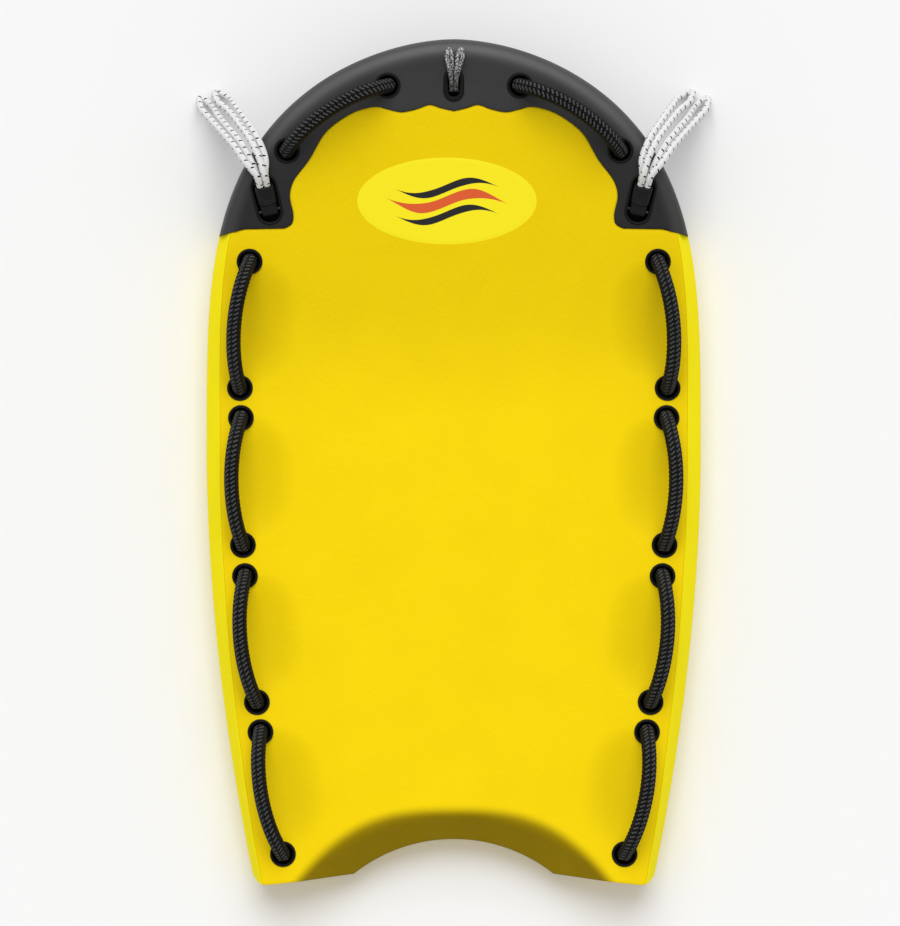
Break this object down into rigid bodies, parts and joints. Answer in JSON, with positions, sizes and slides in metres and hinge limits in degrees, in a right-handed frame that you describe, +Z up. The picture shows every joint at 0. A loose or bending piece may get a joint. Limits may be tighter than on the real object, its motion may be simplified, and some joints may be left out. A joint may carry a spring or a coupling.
{
  "type": "water rescue sled",
  "caption": "Soft foam rescue board towed behind a personal watercraft, with rope handles, a scalloped nose bumper, an arched tail and tow loops.",
  "frame": {"origin": "on the ground under the middle of the board's length and width", "axes": "+Y towards the nose, +X to the board's right, +Z up out of the deck"},
  "size_m": [0.9848, 1.6, 0.2336],
  "materials": {
    "deck_foam": "fine-grained closed-cell foam, yellow",
    "rail_foam": "fine-grained closed-cell foam, bright yellow",
    "core_foam": "cut closed-cell foam, pale yellow",
    "slick": "smooth polyethylene sheet, near black",
    "bumper_foam": "moulded foam, dark grey",
    "cup_plastic": "moulded plastic, black",
    "handle_rope": "braided rope, black",
    "tow_line": "braided line, white with black flecks",
    "bow_line": "braided line, grey",
    "sleeve_rubber": "moulded rubber, black",
    "steel": "stainless steel"
  },
  "bodies": {
    "board": {"deck_skin": "deck_foam", "foam_core": "core_foam", "bottom_skin": "slick", "nose_bumper": "bumper_foam", "rail_left": "rail_foam", "rail_right": "rail_foam", "rope_run_left_nose": "handle_rope", "rope_run_left_front": "handle_rope", "rope_run_left_mid": "handle_rope", "rope_run_left_aft": "handle_rope", "rope_run_left_tail": "handle_rope", "rope_run_right_nose": "handle_rope", "rope_run_right_front": "handle_rope", "rope_run_right_mid": "handle_rope", "rope_run_right_aft": "handle_rope", "rope_run_right_tail": "handle_rope", "cup_left_nose_fore": "cup_plastic", "cup_left_nose_rear": "cup_plastic", "cup_left_front_fore": "cup_plastic", "cup_left_front_rear": "cup_plastic", "cup_left_mid_fore": "cup_plastic", "cup_left_mid_rear": "cup_plastic", "cup_left_aft_fore": "cup_plastic", "cup_left_aft_rear": "cup_plastic", "cup_left_tail_fore": "cup_plastic", "cup_left_tail_rear": "cup_plastic", "cup_right_nose_fore": "cup_plastic", "cup_right_nose_rear": "cup_plastic", "cup_right_front_fore": "cup_plastic", "cup_right_front_rear": "cup_plastic", "cup_right_mid_fore": "cup_plastic", "cup_right_mid_rear": "cup_plastic", "cup_right_aft_fore": "cup_plastic", "cup_right_aft_rear": "cup_plastic", "cup_right_tail_fore": "cup_plastic", "cup_right_tail_rear": "cup_plastic", "eyelet_left": "cup_plastic", "eyelet_right": "cup_plastic", "eyelet_bow": "cup_plastic", "eyelet_pin_left": "steel", "eyelet_pin_right": "steel", "eyelet_pin_bow": "steel"},
    "handle_left_nose": {"grip_left_nose": "handle_rope"},
    "handle_left_front": {"grip_left_front": "handle_rope"},
    "handle_left_mid": {"grip_left_mid": "handle_rope"},
    "handle_left_aft": {"grip_left_aft": "handle_rope"},
    "handle_left_tail": {"grip_left_tail": "handle_rope"},
    "handle_right_nose": {"grip_right_nose": "handle_rope"},
    "handle_right_front": {"grip_right_front": "handle_rope"},
    "handle_right_mid": {"grip_right_mid": "handle_rope"},
    "handle_right_aft": {"grip_right_aft": "handle_rope"},
    "handle_right_tail": {"grip_right_tail": "handle_rope"},
    "tow_loop_left": {"tow_sleeve_left": "sleeve_rubber", "tow_bight_left_outer": "tow_line", "tow_bight_left_inner": "tow_line"},
    "tow_loop_right": {"tow_sleeve_right": "sleeve_rubber", "tow_bight_right_outer": "tow_line", "tow_bight_right_inner": "tow_line"},
    "bow_line": {"bow_line_left": "bow_line", "bow_line_right": "bow_line"}
  },
  "joints": [
    {"name": "handle_left_nose_swing", "type": "hinge", "parent": "board", "child": "handle_left_nose", "pos_m": [-0.2194, 0.64988, 0.16819], "axis": [0.8405, 0.5377, 0.066], "range_deg": [-24, 20], "stiffness_Nm_per_rad": 0.1},
    {"name": "handle_left_front_swing", "type": "hinge", "parent": "board", "child": "handle_left_front", "pos_m": [-0.3957, 0.2614, 0.12264], "axis": [0.0792, 0.9937, 0.0791], "range_deg": [-24, 20], "stiffness_Nm_per_rad": 0.1},
    {"name": "handle_left_mid_swing", "type": "hinge", "parent": "board", "child": "handle_left_mid", "pos_m": [-0.4014, -0.03505, 0.113], "axis": [-0.0158, 0.9999, 0], "range_deg": [-24, 20], "stiffness_Nm_per_rad": 0.1},
    {"name": "handle_left_aft_swing", "type": "hinge", "parent": "board", "child": "handle_left_aft", "pos_m": [-0.38435, -0.33365, 0.113], "axis": [-0.0946, 0.9955, 0], "range_deg": [-24, 20], "stiffness_Nm_per_rad": 0.1},
    {"name": "handle_left_tail_swing", "type": "hinge", "parent": "board", "child": "handle_left_tail", "pos_m": [-0.345, -0.62555, 0.113], "axis": [-0.1811, 0.9835, 0], "range_deg": [-24, 20], "stiffness_Nm_per_rad": 0.1},
    {"name": "handle_right_nose_swing", "type": "hinge", "parent": "board", "child": "handle_right_nose", "pos_m": [0.2194, 0.64988, 0.16819], "axis": [0.8405, -0.5377, -0.066], "range_deg": [-24, 20], "stiffness_Nm_per_rad": 0.1},
    {"name": "handle_right_front_swing", "type": "hinge", "parent": "board", "child": "handle_right_front", "pos_m": [0.3957, 0.2614, 0.12264], "axis": [0.0792, -0.9937, -0.0791], "range_deg": [-24, 20], "stiffness_Nm_per_rad": 0.1},
    {"name": "handle_right_mid_swing", "type": "hinge", "parent": "board", "child": "handle_right_mid", "pos_m": [0.4014, -0.03505, 0.113], "axis": [-0.0158, -0.9999, 0], "range_deg": [-24, 20], "stiffness_Nm_per_rad": 0.1},
    {"name": "handle_right_aft_swing", "type": "hinge", "parent": "board", "child": "handle_right_aft", "pos_m": [0.38435, -0.33365, 0.113], "axis": [-0.0946, -0.9955, 0], "range_deg": [-24, 20], "stiffness_Nm_per_rad": 0.1},
    {"name": "handle_right_tail_swing", "type": "hinge", "parent": "board", "child": "handle_right_tail", "pos_m": [0.345, -0.62555, 0.113], "axis": [-0.1811, -0.9835, 0], "range_deg": [-24, 20], "stiffness_Nm_per_rad": 0.1},
    {"name": "tow_loop_left_lift", "type": "hinge", "parent": "board", "child": "tow_loop_left", "pos_m": [-0.348, 0.47746, 0.13191], "axis": [0.9744, 0.225, 0], "range_deg": [0, 65]},
    {"name": "tow_loop_right_lift", "type": "hinge", "parent": "board", "child": "tow_loop_right", "pos_m": [0.348, 0.47746, 0.13191], "axis": [0.9744, -0.225, 0], "range_deg": [0, 65]},
    {"name": "bow_line_lift", "type": "hinge", "parent": "board", "child": "bow_line", "pos_m": [0, 0.70146, 0.15941], "axis": [1, 0, 0], "range_deg": [0, 45]}
  ]
}
